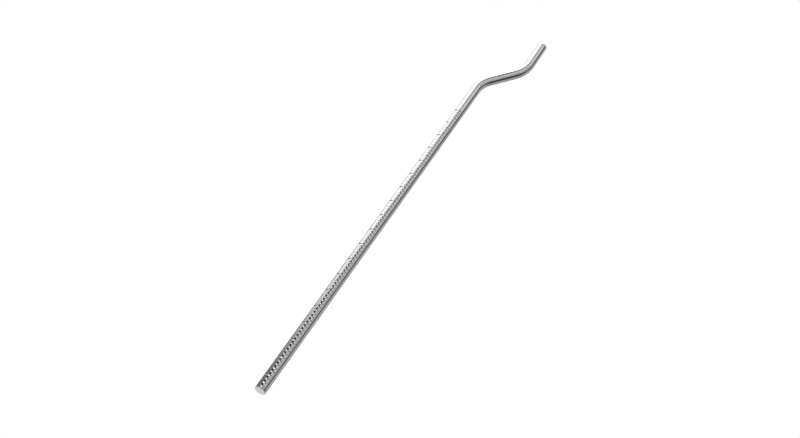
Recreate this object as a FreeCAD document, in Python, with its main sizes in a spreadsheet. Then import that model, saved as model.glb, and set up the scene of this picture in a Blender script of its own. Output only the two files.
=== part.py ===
import FreeCAD, Part
import math
import os
import Sketcher

# A long steel dibber: one bright tube, ruled with ring-like depth marks, cranked
# sideways near its top, and closed by a turned plug in each end.
#
# Frame: the dibber lies on its side, as it does on a bench. +X runs along the
# shaft from the tip to the top, +Z is up, and the crank steps over towards -Y.
# The origin is under the middle of the whole dibber, on the bench.

# name, value (millimetres or degrees), what it is
DIMENSIONS = (
    ("tube_diameter", 25.0, "outside diameter of the tube"),
    ("wall", 2.0, "wall of the tube"),
    ("graduated_length", 937.0, "tip face to the far side of the last mark"),
    ("neck_length", 101.0, "plain straight tube between the last mark and the crank"),
    ("bend_radius", 75.0, "centre-line radius of both bends"),
    ("bend_angle", 41.4, "angle of the sloping stretch to the shaft"),
    ("slope_length", 70.0, "straight stretch between the two bends"),
    ("top_length", 86.0, "straight stretch above the crank, with its plug"),
    ("plug_head", 2.5, "thickness of a plug's head, outside the tube"),
    ("plug_stem", 28.0, "length of a plug inside the tube"),
    ("plug_rim", 1.2, "radius of the rounded rim of a plug's head"),
    ("plug_lead", 1.5, "chamfer on the inner end of a plug"),
    ("plug_clearance", 0.05, "gap all round between a plug's stem and the bore"),
    ("end_land", 0.5, "plain tube between its lower end and the first mark"),
    ("mark_pitch", 10.0, "distance from one mark to the next"),
    ("mark_width", 4.0, "width of a mark at the tube's surface"),
    ("mark_depth", 1.0, "depth of a mark, less than the wall"),
    ("mark_edge_angle", 40.0, "where every mark ends, from +Z towards the crank's side"),
    ("short_mark_arc", 50.0, "how far round the tube a short mark goes"),
    ("long_mark_arc", 120.0, "how far round the tube a long mark goes"),
    ("marks_per_group", 5, "one mark in this many is a long one"),
    ("first_long_mark", 4, "the number of the first long mark"),
)

# Lengths that follow from the sheet, as expressions.
TUBE_RADIUS = "Sizes.tube_diameter / 2"
BORE_RADIUS = "(Sizes.tube_diameter / 2 - Sizes.wall)"
STEM_RADIUS = f"({BORE_RADIUS} - Sizes.plug_clearance)"
SHAFT_LENGTH = "(Sizes.graduated_length + Sizes.neck_length)"
CRANK_LENGTH = (
    "(2 * Sizes.bend_radius * sin(Sizes.bend_angle)"
    " + Sizes.slope_length * cos(Sizes.bend_angle))"
)
CRANK_OFFSET = (
    "(2 * Sizes.bend_radius * (1 - cos(Sizes.bend_angle))"
    " + Sizes.slope_length * sin(Sizes.bend_angle))"
)
OVERALL_LENGTH = f"({SHAFT_LENGTH} + {CRANK_LENGTH} + Sizes.top_length)"
FIRST_MARK = "(Sizes.plug_head + Sizes.end_land + Sizes.mark_width / 2)"
# A mark's section is an arc of this radius, so that its width and depth are right.
CUTTER_RADIUS = (
    "((Sizes.mark_width ^ 2 / 4 + Sizes.mark_depth ^ 2) / (2 * Sizes.mark_depth))"
)

TOLERANCE = 1e-6


def make_sheet(doc):
    """Fill the sheet of driving sizes."""
    sheet = doc.addObject("Spreadsheet::Sheet", "Sizes")
    for row, (name, value, note) in enumerate(DIMENSIONS, start=1):
        sheet.set(f"A{row}", name)
        sheet.set(f"B{row}", str(value))
        sheet.setAlias(f"B{row}", name)
        sheet.set(f"C{row}", note)
    doc.recompute()
    return sheet


def bind(item, expressions):
    """Bind an object's properties to the sheet."""
    for name, expression in expressions.items():
        item.setExpression(name, expression)


def new_sketch(body, name, plane_role):
    """A sketch on one of the body's own origin planes."""
    sketch = body.newObject("Sketcher::SketchObject", name)
    plane = next(p for p in body.Origin.OriginFeatures if p.Role == plane_role)
    sketch.AttachmentSupport = [(plane, "")]
    sketch.MapMode = "FlatFace"
    return sketch


def constrain(sketch, kind, *where, name=None, expression=None):
    """Add a constraint, and bind it to the sheet where an expression is given."""
    index = sketch.addConstraint(Sketcher.Constraint(kind, *where))
    if expression:
        sketch.renameConstraint(index, name)
        sketch.setExpression(f"Constraints.{name}", expression)


def point(x, y):
    return FreeCAD.Vector(x, y, 0)


def draw_centre_line(sketch, sheet):
    """Shaft, bend, slope, bend back and top, as one tangent chain from the tube's end."""
    shaft = sheet.graduated_length + sheet.neck_length - sheet.plug_head
    radius = sheet.bend_radius
    angle = math.radians(sheet.bend_angle)
    top = sheet.top_length - sheet.plug_head
    rise, run = math.sin(angle), math.cos(angle)

    bend_1_centre = point(shaft, -radius)
    slope_start = bend_1_centre + point(radius * rise, radius * run)
    slope_end = slope_start + point(sheet.slope_length * run, -sheet.slope_length * rise)
    bend_2_centre = slope_end + point(radius * rise, radius * run)
    top_start = bend_2_centre + point(0, -radius)
    normal = FreeCAD.Vector(0, 0, 1)
    quarter = math.pi / 2

    sketch.addGeometry(Part.LineSegment(point(0, 0), point(shaft, 0)))
    sketch.addGeometry(
        Part.ArcOfCircle(Part.Circle(bend_1_centre, normal, radius), quarter - angle, quarter)
    )
    sketch.addGeometry(Part.LineSegment(slope_start, slope_end))
    sketch.addGeometry(
        Part.ArcOfCircle(
            Part.Circle(bend_2_centre, normal, radius), 3 * quarter - angle, 3 * quarter
        )
    )
    sketch.addGeometry(Part.LineSegment(top_start, top_start + point(top, 0)))

    constrain(sketch, "Coincident", 0, 1, -1, 1)
    constrain(sketch, "Horizontal", 0)
    constrain(sketch, "Tangent", 0, 2, 1, 2)
    constrain(sketch, "Tangent", 1, 1, 2, 1)
    constrain(sketch, "Tangent", 2, 2, 3, 1)
    constrain(sketch, "Tangent", 3, 2, 4, 1)
    constrain(sketch, "Horizontal", 4)
    constrain(sketch, "Equal", 1, 3)
    constrain(
        sketch, "DistanceX", 0, 1, 0, 2, shaft,
        name="shaft", expression=f"{SHAFT_LENGTH} - Sizes.plug_head",
    )
    constrain(sketch, "Radius", 1, radius, name="bend", expression="Sizes.bend_radius")
    constrain(
        sketch, "Angle", 2, -angle,
        name="slope_angle", expression="-Sizes.bend_angle * 1 deg",
    )
    constrain(
        sketch, "Distance", 2, 1, 2, 2, sheet.slope_length,
        name="slope", expression="Sizes.slope_length",
    )
    constrain(
        sketch, "DistanceX", 4, 1, 4, 2, top,
        name="top", expression="Sizes.top_length - Sizes.plug_head",
    )


def draw_section(sketch, sheet):
    """The tube's section: its outside and its bore."""
    outside = sheet.tube_diameter / 2
    normal = FreeCAD.Vector(0, 0, 1)
    for index, (name, radius, expression) in enumerate((
        ("outside", outside, TUBE_RADIUS),
        ("bore", outside - sheet.wall, BORE_RADIUS),
    )):
        sketch.addGeometry(Part.Circle(point(0, 0), normal, radius))
        constrain(sketch, "Coincident", index, 3, -1, 1)
        constrain(sketch, "Radius", index, radius, name=name, expression=expression)


def make_blank_tube(doc, sheet):
    """The bent tube before it is marked, from plug head to plug head."""
    body = doc.addObject("PartDesign::Body", "blank_tube")
    centre_line = new_sketch(body, "centre_line", "XY_Plane")
    draw_centre_line(centre_line, sheet)
    section = new_sketch(body, "tube_section", "YZ_Plane")
    draw_section(section, sheet)
    doc.recompute()
    pipe = body.newObject("PartDesign::AdditivePipe", "bent_pipe")
    pipe.Profile = section
    pipe.Spine = centre_line
    bind(body, {
        "Placement.Base.x": f"-{OVERALL_LENGTH} / 2 + Sizes.plug_head",
        "Placement.Base.y": f"{CRANK_OFFSET} / 2",
        "Placement.Base.z": TUBE_RADIUS,
    })
    doc.recompute()
    return body


def make_mark_cutter(doc, number, arc):
    """One mark's cutter, a part of a ring round the X axis that starts at +Z."""
    cutter = doc.addObject("Part::Torus", f"mark_{number:02d}")
    cutter.Placement.Rotation = FreeCAD.Rotation(FreeCAD.Vector(1, 0, 1), 180)
    bind(cutter, {
        "Radius1": f"{TUBE_RADIUS} - Sizes.mark_depth + {CUTTER_RADIUS}",
        "Radius2": CUTTER_RADIUS,
        "Angle3": arc,
        "Placement.Base.x": f"{FIRST_MARK} + {number - 1} * Sizes.mark_pitch",
    })
    return cutter


def make_mark_set(doc, name, numbers, arc):
    """All cutters of one length, turned so that they end at the common edge."""
    marks = doc.addObject("Part::Compound", name)
    marks.Links = [make_mark_cutter(doc, number, arc) for number in numbers]
    marks.Placement.Rotation = FreeCAD.Rotation(FreeCAD.Vector(1, 0, 0), 1)
    bind(marks, {
        "Placement.Base.x": f"-{OVERALL_LENGTH} / 2",
        "Placement.Base.y": f"{CRANK_OFFSET} / 2",
        "Placement.Base.z": TUBE_RADIUS,
        "Placement.Rotation.Angle": f"Sizes.mark_edge_angle - {arc}",
    })
    return marks


def make_shaft_tube(doc, sheet):
    """The marked tube: short marks, with a long one in every group."""
    first_mark = sheet.plug_head + sheet.end_land + sheet.mark_width / 2
    room = sheet.graduated_length - sheet.mark_width / 2 - first_mark
    mark_count = int(room / sheet.mark_pitch + TOLERANCE) + 1
    group = int(sheet.marks_per_group)
    first_long = int(sheet.first_long_mark)
    numbers = range(1, mark_count + 1)
    long_numbers = [n for n in numbers if (n - first_long) % group == 0]
    short_numbers = [n for n in numbers if n not in long_numbers]

    blank = make_blank_tube(doc, sheet)
    cutters = doc.addObject("Part::Compound", "mark_cutters")
    cutters.Links = [
        make_mark_set(doc, "short_marks", short_numbers, "Sizes.short_mark_arc"),
        make_mark_set(doc, "long_marks", long_numbers, "Sizes.long_mark_arc"),
    ]
    tube = doc.addObject("Part::Cut", "shaft_tube")
    tube.Base = blank
    tube.Tool = cutters
    doc.recompute()
    if tube.Shape.Volume >= blank.Shape.Volume:
        raise RuntimeError("the marks cut nothing out of the tube")
    return tube


def rim_edges(shape, position, radius):
    """Names of the circular edges at a place along X with a given radius."""
    names = []
    for number, edge in enumerate(shape.Edges, start=1):
        curve = edge.Curve
        if not isinstance(curve, Part.Circle):
            continue
        if abs(curve.Center.x - position) < TOLERANCE and abs(curve.Radius - radius) < TOLERANCE:
            names.append(f"Edge{number}")
    return names


def make_plug(doc, sheet, name):
    """A turned plug: a head as wide as the tube, and a stem that slides in its bore.

    Its own +X runs from the middle of its outer face into the tube.
    """
    head = sheet.plug_head
    length = sheet.plug_head + sheet.plug_stem
    outside = sheet.tube_diameter / 2
    stem = outside - sheet.wall - sheet.plug_clearance

    body = doc.addObject("PartDesign::Body", name)
    outline = new_sketch(body, f"{name}_outline", "XY_Plane")
    corners = [
        point(0, 0), point(0, outside), point(head, outside),
        point(head, stem), point(length, stem), point(length, 0),
    ]
    for start, end in zip(corners, corners[1:] + corners[:1]):
        outline.addGeometry(Part.LineSegment(start, end))
    sides = len(corners)
    for side in range(sides):
        constrain(outline, "Coincident", side, 2, (side + 1) % sides, 1)
        constrain(outline, "Vertical" if side % 2 == 0 else "Horizontal", side)
    constrain(outline, "Coincident", 0, 1, -1, 1)
    constrain(
        outline, "DistanceY", 0, 1, 0, 2, outside,
        name="head_radius", expression=TUBE_RADIUS,
    )
    constrain(
        outline, "DistanceX", 1, 1, 1, 2, head,
        name="head_thickness", expression="Sizes.plug_head",
    )
    constrain(
        outline, "DistanceX", 3, 1, 3, 2, sheet.plug_stem,
        name="stem_length", expression="Sizes.plug_stem",
    )
    constrain(
        outline, "DistanceY", 4, 2, 4, 1, stem,
        name="stem_radius", expression=STEM_RADIUS,
    )
    doc.recompute()

    turned = body.newObject("PartDesign::Revolution", f"{name}_turned")
    turned.Profile = outline
    turned.ReferenceAxis = (outline, ["H_Axis"])
    turned.Angle = 360
    doc.recompute()

    rounded = body.newObject("PartDesign::Fillet", f"{name}_rim")
    rounded.Base = (turned, rim_edges(turned.Shape, 0, outside))
    bind(rounded, {"Radius": "Sizes.plug_rim"})
    doc.recompute()

    lead = body.newObject("PartDesign::Chamfer", f"{name}_lead")
    lead.Base = (rounded, rim_edges(rounded.Shape, length, stem))
    bind(lead, {"Size": "Sizes.plug_lead"})
    doc.recompute()
    return body


def make_tip_plug(doc, sheet):
    """The plug whose flat face is the dibber's tip."""
    plug = make_plug(doc, sheet, "tip_plug")
    bind(plug, {
        "Placement.Base.x": f"-{OVERALL_LENGTH} / 2",
        "Placement.Base.y": f"{CRANK_OFFSET} / 2",
        "Placement.Base.z": TUBE_RADIUS,
    })
    return plug


def make_top_plug(doc, sheet):
    """The same plug, turned about, in the cranked end."""
    plug = make_plug(doc, sheet, "top_plug")
    plug.Placement.Rotation = FreeCAD.Rotation(FreeCAD.Vector(0, 0, 1), 180)
    bind(plug, {
        "Placement.Base.x": f"{OVERALL_LENGTH} / 2",
        "Placement.Base.y": f"-{CRANK_OFFSET} / 2",
        "Placement.Base.z": TUBE_RADIUS,
    })
    return plug


def check(doc, pieces):
    """Stop before anything is written if an object failed or a shape is unsound."""
    for item in doc.Objects:
        if "Invalid" in item.State or "Error" in item.State:
            raise RuntimeError(f"{item.Name} failed: {item.State}")
    for piece in pieces:
        if piece.Shape.isNull() or not piece.Shape.isValid():
            raise RuntimeError(f"{piece.Label} has no sound shape")
        if len(piece.Shape.Solids) != 1:
            raise RuntimeError(f"{piece.Label} has {len(piece.Shape.Solids)} solids")


def main():
    doc = FreeCAD.newDocument("garden_dibber")
    sheet = make_sheet(doc)
    pieces = [
        make_shaft_tube(doc, sheet),
        make_tip_plug(doc, sheet),
        make_top_plug(doc, sheet),
    ]
    doc.recompute()
    check(doc, pieces)
    os.makedirs("parts", exist_ok=True)
    for piece in pieces:
        piece.Shape.exportStep(f"parts/{piece.Label}.step")
        box = piece.Shape.BoundBox
        print(piece.Label, f"volume {piece.Shape.Volume:.1f}", box)


main()
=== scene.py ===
import math
import bmesh
import bpy
from mathutils import Matrix, Vector


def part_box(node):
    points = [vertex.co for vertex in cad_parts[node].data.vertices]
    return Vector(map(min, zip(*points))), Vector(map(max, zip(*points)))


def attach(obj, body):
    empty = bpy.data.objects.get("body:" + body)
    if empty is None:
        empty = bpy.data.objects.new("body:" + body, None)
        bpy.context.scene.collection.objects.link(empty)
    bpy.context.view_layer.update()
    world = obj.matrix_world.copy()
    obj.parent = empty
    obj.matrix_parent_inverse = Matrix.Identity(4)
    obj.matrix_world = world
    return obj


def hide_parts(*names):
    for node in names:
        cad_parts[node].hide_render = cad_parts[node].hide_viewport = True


# A cranked steel dibber on a white bench: one polished tube, ruled with ring-like
# depth marks, with a turned plug in each end. Metres, in the part's own frame:
# +X from the tip to the top, +Z up, and the crank steps over towards -Y.

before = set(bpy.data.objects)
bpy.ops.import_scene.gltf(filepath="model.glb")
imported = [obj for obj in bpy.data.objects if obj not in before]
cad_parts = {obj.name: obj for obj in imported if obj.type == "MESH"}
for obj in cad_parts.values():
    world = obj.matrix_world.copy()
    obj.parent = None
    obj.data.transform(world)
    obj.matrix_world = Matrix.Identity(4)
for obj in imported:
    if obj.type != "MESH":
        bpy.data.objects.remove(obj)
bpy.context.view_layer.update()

MM = 0.001

# The tube and its marks, as the part has them.
WALL = 2.0 * MM
NECK = 101.0 * MM
BEND_RADIUS = 75.0 * MM
BEND_ANGLE = math.radians(41.4)
SLOPE = 70.0 * MM
TOP = 86.0 * MM
PLUG_HEAD = 2.5 * MM
PLUG_RIM = 1.2 * MM
PLUG_LEAD = 1.5 * MM
PLUG_CLEARANCE = 0.05 * MM
END_LAND = 0.5 * MM
MARK_PITCH = 10.0 * MM
MARK_WIDTH = 4.0 * MM
MARK_DEPTH = 1.0 * MM
MARK_EDGE = math.radians(40.0)
SHORT_ARC = math.radians(50.0)
LONG_ARC = math.radians(120.0)
MARK_COUNT = 94
MARKS_PER_GROUP = 5
FIRST_LONG_MARK = 4

# Places that the frame gives.
TIP_LOW, TIP_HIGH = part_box("tip_plug")
TOP_LOW, TOP_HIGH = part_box("top_plug")
TUBE_RADIUS = (TIP_HIGH.z - TIP_LOW.z) / 2
TIP = Vector((TIP_LOW.x, (TIP_LOW.y + TIP_HIGH.y) / 2, (TIP_LOW.z + TIP_HIGH.z) / 2))
TOP_END = Vector((TOP_HIGH.x, (TOP_LOW.y + TOP_HIGH.y) / 2, TIP.z))
PLUG_LENGTH = TIP_HIGH.x - TIP_LOW.x
FIRST_MARK = PLUG_HEAD + END_LAND + MARK_WIDTH / 2
BEND_START = FIRST_MARK + (MARK_COUNT - 1) * MARK_PITCH + MARK_WIDTH / 2 + NECK

# How finely the pieces are drawn.
ROUND_STEPS = 72
MARK_STEPS = 8
BEND_STEPS = 24
RIM_STEPS = 6
SEAM_CHAMFER = 0.35 * MM
END_WALL = math.radians(0.7)  # from a mark's edge, round the shaft, to its full depth
MERGE_DISTANCE = 0.001 * MM
SHARP = math.radians(28.0)  # edges that fold more than this stay crisp

AXIS_X = Vector((1, 0, 0))
AXIS_Z = Vector((0, 0, 1))


# ---------------------------------------------------------------- mesh helpers

def finish_mesh(mesh_maker, name, material, node):
    """Turn a bmesh into a shaded piece that stands for a CAD node."""
    bmesh.ops.recalc_face_normals(mesh_maker, faces=mesh_maker.faces)
    mesh = bpy.data.meshes.new(name)
    mesh_maker.to_mesh(mesh)
    mesh_maker.free()
    mesh.shade_smooth()
    mesh.set_sharp_from_angle(angle=SHARP)
    mesh.materials.append(material)
    piece = bpy.data.objects.new(name, mesh)
    bpy.context.scene.collection.objects.link(piece)
    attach(piece, "root")
    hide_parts(node)
    return piece


def start_ring(skin, along_layer, radius, x):
    """A ring of the tube, standing across the shaft x metres from the tip."""
    place = Matrix.Translation(TIP + AXIS_X * x) @ Matrix.Rotation(math.pi / 2, 4, "Y")
    made = bmesh.ops.create_circle(
        skin, segments=ROUND_STEPS, radius=radius, matrix=place
    )
    for vert in made["verts"]:
        vert[along_layer] = x
    return [edge for edge in skin.edges if all(v in made["verts"] for v in edge.verts)]


def grow(skin, along_layer, rim, move, length):
    """Extrude the rim one step along the tube, and return the new rim."""
    made = bmesh.ops.extrude_edge_only(skin, edges=rim)
    verts = [item for item in made["geom"] if isinstance(item, bmesh.types.BMVert)]
    bmesh.ops.transform(skin, matrix=move, verts=verts)
    for vert in verts:
        vert[along_layer] += length
    fresh = set(verts)
    edges = [item for item in made["geom"] if isinstance(item, bmesh.types.BMEdge)]
    return [e for e in edges if e.verts[0] in fresh and e.verts[1] in fresh]


def ring_verts(rim):
    return {vert for edge in rim for vert in edge.verts}


# ------------------------------------------------------------------- the tube

def turn_round_tube(vert):
    """Angle of a point round the shaft, from +Z towards the crank's side."""
    return math.atan2(TIP.y - vert.co.y, vert.co.z - TIP.z)


def mark_arc(number):
    """Where a mark starts and ends round the shaft."""
    is_long = (number - FIRST_LONG_MARK) % MARKS_PER_GROUP == 0
    return MARK_EDGE - (LONG_ARC if is_long else SHORT_ARC), MARK_EDGE


def sink(rim, number, depth, sunk):
    """Note which points of a ring lie in a mark, and where round the axis they go."""
    start, end = mark_arc(number)
    # A little over one column of the ring, so that rounding can't miss the last point.
    last_column = 1.2 * 2 * math.pi / ROUND_STEPS
    for vert in ring_verts(rim):
        turn = turn_round_tube(vert)
        if start + END_WALL < turn < end - END_WALL:
            # The last points inside move up to the mark's steep end walls.
            if turn > end - last_column:
                turn = end - END_WALL
            elif turn < start + last_column:
                turn = start + END_WALL
            sunk.append((vert, turn, TUBE_RADIUS - depth))


def cut_depth(offset):
    """Depth of a mark at a distance from its middle: the cutter's round nose."""
    nose = (MARK_WIDTH ** 2 / 4 + MARK_DEPTH ** 2) / (2 * MARK_DEPTH)
    return math.sqrt(nose ** 2 - offset ** 2) - (nose - MARK_DEPTH)


def follow_crank(skin, layer, rim, from_x, end_trim):
    """Carry a rim from the plain neck, round the crank, to the tube's upper end."""
    straight = BEND_START - from_x
    rim = grow(skin, layer, rim, Matrix.Translation(AXIS_X * straight), straight)
    first_centre = TIP + AXIS_X * BEND_START - Vector((0, BEND_RADIUS, 0))
    heading = Vector((math.cos(BEND_ANGLE), -math.sin(BEND_ANGLE), 0))
    outwards = Vector((math.sin(BEND_ANGLE), math.cos(BEND_ANGLE), 0))
    second_centre = first_centre + outwards * (2 * BEND_RADIUS) + heading * SLOPE
    step = BEND_ANGLE / BEND_STEPS

    def bend(rim, centre, angle):
        turn = Matrix.Rotation(angle, 4, "Z")
        move = Matrix.Translation(centre) @ turn @ Matrix.Translation(-centre)
        for _ in range(BEND_STEPS):
            rim = grow(skin, layer, rim, move, BEND_RADIUS * step)
        return rim

    rim = bend(rim, first_centre, -step)
    rim = grow(skin, layer, rim, Matrix.Translation(heading * SLOPE), SLOPE)
    rim = bend(rim, second_centre, step)
    last = TOP - PLUG_HEAD - end_trim
    return grow(skin, layer, rim, Matrix.Translation(AXIS_X * last), last)


def draw_outside(skin, layer):
    """The outside of the tube, with a groove cut for each mark."""
    sunk = []
    x = PLUG_HEAD + SEAM_CHAMFER
    rim = start_ring(skin, layer, TUBE_RADIUS, x)
    lower_end = rim
    for number in range(1, MARK_COUNT + 1):
        middle = FIRST_MARK + (number - 1) * MARK_PITCH
        for step in range(MARK_STEPS + 1):
            offset = MARK_WIDTH * (step / MARK_STEPS - 0.5)
            length = middle + offset - x
            rim = grow(skin, layer, rim, Matrix.Translation(AXIS_X * length), length)
            sink(rim, number, cut_depth(offset), sunk)
            x += length
    upper_end = follow_crank(skin, layer, rim, x, SEAM_CHAMFER)
    for vert, turn, radius in sunk:
        vert.co.y = TIP.y - radius * math.sin(turn)
        vert.co.z = TIP.z + radius * math.cos(turn)
    return lower_end, upper_end


def chamfer_end(skin, layer, rim, centre, heading):
    """Break the tube's outer edge where it meets a plug's head."""
    shrink = Matrix.Diagonal((1, *[1 - SEAM_CHAMFER / TUBE_RADIUS] * 2, 1))
    move = (
        Matrix.Translation(centre + heading * SEAM_CHAMFER)
        @ shrink @ Matrix.Translation(-centre)
    )
    return grow(skin, layer, rim, move, 0)


def lay_out_uv(skin, layer):
    """Unroll the tube: U runs along it and V round it, both in metres."""
    uv = skin.loops.layers.uv.new("unrolled")
    turn_layer = skin.verts.layers.float["turn"]
    for face in skin.faces:
        turns = [loop.vert[turn_layer] for loop in face.loops]
        wraps = max(turns) - min(turns) > math.pi
        for loop, turn in zip(face.loops, turns):
            if wraps and turn < 0:
                turn += 2 * math.pi
            loop[uv].uv = (loop.vert[layer], turn * TUBE_RADIUS)


def make_tube(material):
    skin = bmesh.new()
    layer = skin.verts.layers.float.new("along")
    turn_layer = skin.verts.layers.float.new("turn")
    start = PLUG_HEAD + SEAM_CHAMFER
    outer_low, outer_high = draw_outside(skin, layer)
    outer_low = chamfer_end(
        skin, layer, outer_low, TIP + AXIS_X * start, -AXIS_X
    )
    outer_high = chamfer_end(
        skin, layer, outer_high, TOP_END - AXIS_X * start, AXIS_X
    )
    inner_low = start_ring(skin, layer, TUBE_RADIUS - WALL, PLUG_HEAD)
    inner_high = follow_crank(skin, layer, inner_low, PLUG_HEAD, 0)
    bmesh.ops.bridge_loops(skin, edges=outer_low + inner_low)
    bmesh.ops.bridge_loops(skin, edges=outer_high + inner_high)
    # Each point's turn round the tube comes from where it lies, the crank's points too.
    for vert in skin.verts:
        vert[turn_layer] = ring_turn(vert)
    lay_out_uv(skin, layer)
    return finish_mesh(skin, "graduated_tube", material, "shaft_tube")


def ring_turn(vert):
    """Angle round the tube of any of its points, the crank's too."""
    x, y = vert.co.x - TIP.x, vert.co.y - TIP.y
    bend_end = BEND_START + BEND_RADIUS * math.sin(BEND_ANGLE)
    slope_end = bend_end + SLOPE * math.cos(BEND_ANGLE)
    step_over = TIP.y - TOP_END.y
    if x < BEND_START:
        side = -y
    elif x > TOP_END.x - TIP.x - TOP:
        side = -(y + step_over)
    elif x < (bend_end + slope_end) / 2:
        centre_y = -BEND_RADIUS
        side = BEND_RADIUS - math.hypot(x - BEND_START, y - centre_y)
        if x > bend_end:
            side = slope_side(x, y)
    else:
        side = slope_side(x, y)
        if x > slope_end:
            centre_x = TOP_END.x - TIP.x - TOP
            centre_y = BEND_RADIUS - step_over
            side = math.hypot(x - centre_x, y - centre_y) - BEND_RADIUS
    return math.atan2(side, vert.co.z - TIP.z)


def slope_side(x, y):
    """Distance of a point from the sloping stretch's centre line, seen from above."""
    away = Vector((x - BEND_START, y + BEND_RADIUS, 0))
    outwards = Vector((math.sin(BEND_ANGLE), math.cos(BEND_ANGLE), 0))
    return BEND_RADIUS - away.dot(outwards)


# ------------------------------------------------------------------ the plugs

def plug_outline():
    """Half the plug's section, (distance from its face, radius), from axis to axis."""
    stem = TUBE_RADIUS - WALL - PLUG_CLEARANCE
    outline = [(0, 0), (0, TUBE_RADIUS - PLUG_RIM)]
    for step in range(1, RIM_STEPS + 1):
        angle = math.pi / 2 * step / RIM_STEPS
        outline.append((
            PLUG_RIM * (1 - math.cos(angle)),
            TUBE_RADIUS - PLUG_RIM * (1 - math.sin(angle)),
        ))
    outline += [
        (PLUG_HEAD - SEAM_CHAMFER, TUBE_RADIUS),
        (PLUG_HEAD, TUBE_RADIUS - SEAM_CHAMFER),
        (PLUG_HEAD, stem),
        (PLUG_LENGTH - PLUG_LEAD, stem),
        (PLUG_LENGTH, stem - PLUG_LEAD),
        (PLUG_LENGTH, 0),
    ]
    return outline


def make_plug(name, node, face_centre, inwards, material):
    """Turn a plug on its axis: inwards is the way from its face into the tube."""
    lathe = bmesh.new()
    points = [
        lathe.verts.new(face_centre + inwards * depth + AXIS_Z * radius)
        for depth, radius in plug_outline()
    ]
    edges = [lathe.edges.new(pair) for pair in zip(points, points[1:])]
    bmesh.ops.spin(
        lathe, geom=points + edges, cent=face_centre, axis=inwards, dvec=(0, 0, 0),
        angle=2 * math.pi, steps=ROUND_STEPS, use_merge=True,
    )
    bmesh.ops.remove_doubles(lathe, verts=lathe.verts, dist=MERGE_DISTANCE)
    return finish_mesh(lathe, name, material, node)


# -------------------------------------------------------------------- finishes

def linear(hex_colour):
    """sRGB hex to the linear colour that shaders take."""
    channels = [int(hex_colour[i:i + 2], 16) / 255 for i in (1, 3, 5)]
    return tuple(
        c / 12.92 if c <= 0.04045 else ((c + 0.055) / 1.055) ** 2.4 for c in channels
    ) + (1.0,)


def add(tree, kind, links=(), **settings):
    """Add a node, set its properties and inputs, and link its inputs."""
    node = tree.nodes.new(kind)
    for name, value in settings.items():
        if name in node.inputs:
            node.inputs[name].default_value = value
        else:
            setattr(node, name, value)
    for socket, source in dict(links).items():
        tree.links.new(source, node.inputs[socket])
    return node


def new_material(name):
    material = bpy.data.materials.new(name)
    material.use_nodes = True
    material.node_tree.nodes.clear()
    return material, material.node_tree


# Draw lines lie 0.1 mm apart and would not show, so these are 0.7 mm apart.
DRAW_LINE_SPACING = 0.7 * MM
DRAW_LINE_LENGTH = 250.0 * MM
# Hand marks and buffing haze come in patches, drawn out along the tube.
HAZE_LENGTH = 60.0 * MM
HAZE_WIDTH = 20.0 * MM
# The facing tool leaves a ring every 0.35 mm.
FACING_RING = 0.35 * MM


def drawn_steel():
    """Stainless tube, drawn and buffed: clear reflections, faintly lined lengthways."""
    material, tree = new_material("drawn_polished_stainless")
    unrolled = add(tree, "ShaderNodeUVMap", uv_map="unrolled")
    lines_at = add(
        tree, "ShaderNodeMapping", {"Vector": unrolled.outputs["UV"]},
        Scale=(1 / DRAW_LINE_LENGTH, 1 / DRAW_LINE_SPACING, 1),
    )
    lines = add(
        tree, "ShaderNodeTexNoise", {"Vector": lines_at.outputs["Vector"]},
        noise_dimensions="2D", Scale=1.0, Detail=3.0, Roughness=0.6,
    )
    haze_at = add(
        tree, "ShaderNodeMapping", {"Vector": unrolled.outputs["UV"]},
        Scale=(1 / HAZE_LENGTH, 1 / HAZE_WIDTH, 1),
    )
    haze = add(
        tree, "ShaderNodeTexNoise", {"Vector": haze_at.outputs["Vector"]},
        noise_dimensions="2D", Scale=1.0, Detail=4.0, Roughness=0.55,
    )
    gloss = add(
        tree, "ShaderNodeMapRange", {"Value": haze.outputs["Fac"]},
        **{"From Min": 0.3, "From Max": 0.7, "To Min": 0.05, "To Max": 0.10},
    )
    relief = add(
        tree, "ShaderNodeBump", {"Height": lines.outputs["Fac"]},
        Strength=0.25, Distance=0.01 * MM,
    )
    shader = add(
        tree, "ShaderNodeBsdfPrincipled",
        {"Roughness": gloss.outputs["Result"], "Normal": relief.outputs["Normal"]},
        **{"Base Color": linear("#BDBDBC"), "Metallic": 1.0},
    )
    add(tree, "ShaderNodeOutputMaterial", {"Surface": shader.outputs["BSDF"]})
    return material


def turned_steel(name, face_centre):
    """Stainless bar, faced and turned: fine rings round the axis, softly polished."""
    material, tree = new_material(name)
    place = add(tree, "ShaderNodeTexCoord")
    centred = add(
        tree, "ShaderNodeMapping", {"Vector": place.outputs["Object"]},
        Location=tuple(-face_centre),
    )
    across = add(
        tree, "ShaderNodeVectorMath", {0: centred.outputs["Vector"]},
        operation="MULTIPLY",
    )
    across.inputs[1].default_value = (0, 1, 1)
    radius = add(
        tree, "ShaderNodeVectorMath", {0: across.outputs["Vector"]}, operation="LENGTH",
    )
    rings = add(
        tree, "ShaderNodeMath", {0: radius.outputs["Value"]}, operation="MULTIPLY",
    )
    rings.inputs[1].default_value = 2 * math.pi / FACING_RING
    wave = add(tree, "ShaderNodeMath", {0: rings.outputs["Value"]}, operation="SINE")
    relief = add(
        tree, "ShaderNodeBump", {"Height": wave.outputs["Value"]},
        Strength=0.3, Distance=0.004 * MM,
    )
    shader = add(
        tree, "ShaderNodeBsdfPrincipled", {"Normal": relief.outputs["Normal"]},
        **{"Base Color": linear("#C6C6C5"), "Metallic": 1.0, "Roughness": 0.2},
    )
    add(tree, "ShaderNodeOutputMaterial", {"Surface": shader.outputs["BSDF"]})
    return material


# ------------------------------------------------------------------ the studio

BENCH_HALF_WIDTH = 30.0


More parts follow.
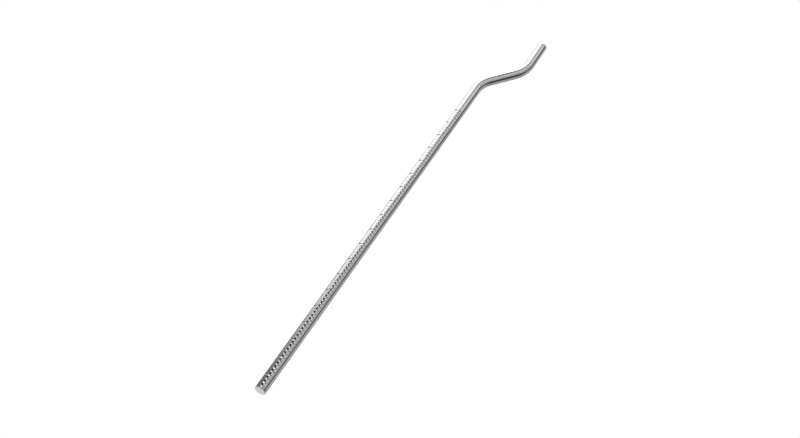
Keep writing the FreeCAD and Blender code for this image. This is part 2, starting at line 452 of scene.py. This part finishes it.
def make_floor():
    """A plain white bench top, lit evenly from below, far wider than the view."""
    slab = bmesh.new()
    bmesh.ops.create_grid(slab, x_segments=1, y_segments=1, size=BENCH_HALF_WIDTH)
    mesh = bpy.data.meshes.new("bench_top")
    slab.to_mesh(mesh)
    slab.free()
    material, tree = new_material("white_bench_top")
    shader = add(
        tree, "ShaderNodeEmission", Color=linear("#FFFFFF"), Strength=1.0,
    )
    add(tree, "ShaderNodeOutputMaterial", {"Surface": shader.outputs["Emission"]})
    mesh.materials.append(material)
    floor = bpy.data.objects.new("bench_top", mesh)
    floor.visible_glossy = False
    bpy.context.scene.collection.objects.link(floor)


def ramp(tree, position, panels):
    """Brightness round the shaft: panels are (degrees from overhead, brightness)."""
    node = add(tree, "ShaderNodeValToRGB", {"Fac": position})
    points = node.color_ramp.elements
    while len(points) < len(panels):
        points.new(0.5)
    for point, (degrees, brightness) in zip(points, panels):
        point.position = (degrees + 180) / 360
        point.color = (brightness, brightness, brightness, 1)
    return node.outputs["Color"]


def rise(tree, value, low, high):
    """0 below low, 1 above high, with a soft step between."""
    node = add(
        tree, "ShaderNodeMapRange", {"Value": value}, interpolation_type="SMOOTHSTEP",
        **{"From Min": low, "From Max": high},
    )
    return node.outputs["Result"]


def blend(tree, factor, first, second):
    node = add(
        tree, "ShaderNodeMix", {0: factor, 6: first, 7: second}, data_type="RGBA",
    )
    return node.outputs[2]


def grey(tree, brightness):
    """An even panel of one brightness."""
    node = add(tree, "ShaderNodeRGB")
    node.outputs[0].default_value = (brightness, brightness, brightness, 1)
    return node.outputs[0]


def calculate(tree, operation, first, second):
    """One sum: first is a socket, second is a socket or a number."""
    node = add(tree, "ShaderNodeMath", {0: first}, operation=operation)
    if isinstance(second, float):
        node.inputs[1].default_value = second
    else:
        tree.links.new(second, node.inputs[1])
    return node.outputs["Value"]


# Light panels seen round the shaft, behind the camera, beside it, ahead and far ahead.
# Degrees run from 0 overhead to +90 level on the crank's side, -90 on the other.
PANELS_BEHIND = (
    (-180, 1.0), (-120, 1.0), (-96, 0.30), (-60, 0.10), (-52, 0.12), (-42, 1.00),
    (-14, 1.00), (-4, 0.10), (4, 0.10), (12, 0.45), (24, 0.75), (36, 0.84),
    (46, 0.76), (54, 0.64), (64, 0.50), (74, 0.24), (82, 0.06), (102, 0.05),
    (112, 0.29), (126, 0.57), (142, 0.68), (180, 0.90),
)
PANELS_BESIDE = (
    (-180, 0.30), (-140, 0.14), (-120, 0.14), (-90, 0.26), (-34, 0.22), (-24, 0.08),
    (-20, 0.03), (-3, 0.03), (8, 0.58), (18, 1.00), (30, 0.96), (42, 0.80),
    (54, 0.74), (76, 0.68), (81, 0.05), (98, 0.05), (103, 0.62), (118, 0.76),
    (145, 0.60), (180, 0.30),
)
PANELS_AHEAD = (
    (-180, 0.32), (-110, 0.80), (-14, 0.80), (-4, 0.46), (7, 0.44), (16, 0.78),
    (28, 1.06), (40, 1.20), (54, 1.02), (66, 0.74), (77, 0.48), (81, 0.04),
    (98, 0.04), (103, 0.50), (118, 0.66), (145, 0.56), (180, 0.32),
)
PANELS_FAR_AHEAD = (
    (-180, 0.32), (-110, 0.80), (-26, 0.80), (-14, 0.45), (-2, 0.20), (10, 0.22),
    (20, 0.60), (30, 0.95), (42, 1.04), (54, 0.98), (66, 0.80), (77, 0.62),
    (81, 0.04), (98, 0.04), (103, 0.50), (118, 0.66), (145, 0.56), (180, 0.32),
)
GLOOM_BRIGHTNESS = 0.06
WINDOW_BRIGHTNESS = 1.9
LAMP_BRIGHTNESS = 10.0

# Where one set of panels gives way to the next: the share of a direction along +X.
BEHIND_TO_BESIDE = (-0.25, 0.35)
BESIDE_TO_AHEAD = (0.54, 0.68)
AHEAD_TO_FAR_AHEAD = (0.74, 0.80)
GLOOM_EDGE = (0.25, 0.55)  # the share along -X
GLOOM_TOP_EDGE = (0.0, 0.1)  # radians from overhead, towards the crank's side
LAMP_EDGE = (0.78, 0.84)
LAMP_TOP_EDGE = (0.0, math.radians(10))  # from overhead, away from the crank's side

# The window's near edge: its share along +X, 45 degrees down the far side and overhead.
WINDOW_NEAR_EDGE = (0.54, 0.62)
WINDOW_NEAR_SOFTNESS = (-0.09, 0.06)
WINDOW_LEAN = 1.3  # radians nearer to overhead for each unit further along +X
WINDOW_TOP_EDGE = (1.01, 1.19)  # radians from overhead, with the lean added
BENCH_EDGE = (-0.30, -0.10)  # heights between which the window and the lamp fade in


def panels_around(tree, ahead, turn):
    """The panels, changing from one set to the next along the shaft's direction."""
    panels = blend(
        tree, rise(tree, ahead, *BEHIND_TO_BESIDE),
        ramp(tree, turn, PANELS_BEHIND), ramp(tree, turn, PANELS_BESIDE),
    )
    panels = blend(
        tree, rise(tree, ahead, *BESIDE_TO_AHEAD),
        panels, ramp(tree, turn, PANELS_AHEAD),
    )
    return blend(
        tree, rise(tree, ahead, *AHEAD_TO_FAR_AHEAD),
        panels, ramp(tree, turn, PANELS_FAR_AHEAD),
    )


def window_shape(tree, ahead, around, away):
    """Where the bright window is: ahead, on the far side, with slanting edges."""
    # The near edge starts further ahead towards overhead.
    far_down, overhead = WINDOW_NEAR_EDGE
    near_edge = add(
        tree, "ShaderNodeMapRange", {"Value": around},
        **{"From Min": math.radians(-45), "From Max": 0.0,
           "To Min": far_down, "To Max": overhead},
    ).outputs["Result"]
    past_near_edge = calculate(tree, "SUBTRACT", ahead, near_edge)
    # The top edge leans too: further ahead it comes closer to overhead.
    leaning = calculate(
        tree, "ADD", away, calculate(tree, "MULTIPLY", ahead, WINDOW_LEAN),
    )
    return calculate(
        tree, "MULTIPLY",
        rise(tree, past_near_edge, *WINDOW_NEAR_SOFTNESS),
        rise(tree, leaning, *WINDOW_TOP_EDGE),
    )


def make_tent():
    """Panels and gaps all round, with a bright window ahead on the far side."""
    world = bpy.data.worlds.new("light_tent")
    bpy.context.scene.world = world
    world.use_nodes = True
    tree = world.node_tree
    tree.nodes.clear()
    place = add(tree, "ShaderNodeTexCoord")
    towards = add(tree, "ShaderNodeSeparateXYZ", {"Vector": place.outputs["Generated"]})
    ahead, height = towards.outputs["X"], towards.outputs["Z"]
    side = calculate(tree, "MULTIPLY", towards.outputs["Y"], -1.0)
    around = calculate(tree, "ARCTAN2", side, height)
    turn = add(
        tree, "ShaderNodeMapRange", {"Value": around},
        **{"From Min": -math.pi, "From Max": math.pi},
    ).outputs["Result"]
    behind = calculate(tree, "MULTIPLY", ahead, -1.0)
    away = calculate(tree, "MULTIPLY", around, -1.0)

    panels = panels_around(tree, ahead, turn)
    # Far behind the camera, the crank's side of the room is dark.
    gloom = calculate(
        tree, "MULTIPLY", rise(tree, behind, *GLOOM_EDGE),
        rise(tree, around, *GLOOM_TOP_EDGE),
    )
    panels = blend(tree, gloom, panels, grey(tree, GLOOM_BRIGHTNESS))
    # Neither the window nor the lamp reaches far below the bench's edge.
    above_bench = rise(tree, height, *BENCH_EDGE)
    window = calculate(
        tree, "MULTIPLY", window_shape(tree, ahead, around, away), above_bench
    )
    panels = blend(tree, window, panels, grey(tree, WINDOW_BRIGHTNESS))
    # A strong lamp stands low and far ahead: it lights the near side of each mark.
    lamp = calculate(
        tree, "MULTIPLY", rise(tree, ahead, *LAMP_EDGE),
        rise(tree, away, *LAMP_TOP_EDGE),
    )
    lamp = calculate(tree, "MULTIPLY", lamp, above_bench)
    panels = blend(tree, lamp, panels, grey(tree, LAMP_BRIGHTNESS))
    glow = add(tree, "ShaderNodeBackground", {"Color": panels}, Strength=1.0)
    add(tree, "ShaderNodeOutputWorld", {"Surface": glow.outputs["Background"]})


SOFTBOX_SIZE = 3.0
SOFTBOX_HEIGHT = 3.0
SOFTBOX_POWER = 60.0


def make_overhead_softbox():
    """One large soft light overhead. The bench glows by itself and polished steel shows
    only the tent, so this lights nothing but a piece that isn't polished."""
    data = bpy.data.lights.new("overhead_softbox", "AREA")
    data.shape = "SQUARE"
    data.size = SOFTBOX_SIZE
    data.energy = SOFTBOX_POWER
    light = bpy.data.objects.new("overhead_softbox", data)
    light.location = (0.0, 0.0, SOFTBOX_HEIGHT)
    light.visible_glossy = False
    bpy.context.scene.collection.objects.link(light)


CAMERA_PLACE = Vector((-1.1239, -0.8989, 2.0367))
CAMERA_PITCH = math.radians(47.205)
CAMERA_TURN = math.radians(27.283)
CAMERA_LENS = 54.45


def make_camera():
    """Stand over the tip, looking down along the shaft."""
    data = bpy.data.cameras.new("studio_camera")
    data.sensor_width = 36.0
    data.lens = CAMERA_LENS
    data.clip_end = 100.0
    camera = bpy.data.objects.new("studio_camera", data)
    level = Vector((math.cos(CAMERA_TURN), math.sin(CAMERA_TURN), 0))
    view = level * math.cos(CAMERA_PITCH) - AXIS_Z * math.sin(CAMERA_PITCH)
    camera.location = TIP + CAMERA_PLACE
    camera.rotation_euler = view.to_track_quat("-Z", "Y").to_euler()
    bpy.context.scene.collection.objects.link(camera)
    bpy.context.scene.camera = camera


# ------------------------------------------------------------------- assembly

make_camera()
make_floor()
make_tent()
make_overhead_softbox()
bpy.context.scene.view_settings.view_transform = "Standard"

make_tube(drawn_steel())
make_plug("tip_cap", "tip_plug", TIP, AXIS_X, turned_steel("turned_stainless_tip", TIP))
make_plug(
    "top_cap", "top_plug", TOP_END, -AXIS_X,
    turned_steel("turned_stainless_top", TOP_END),
)

bpy.context.view_layer.update()
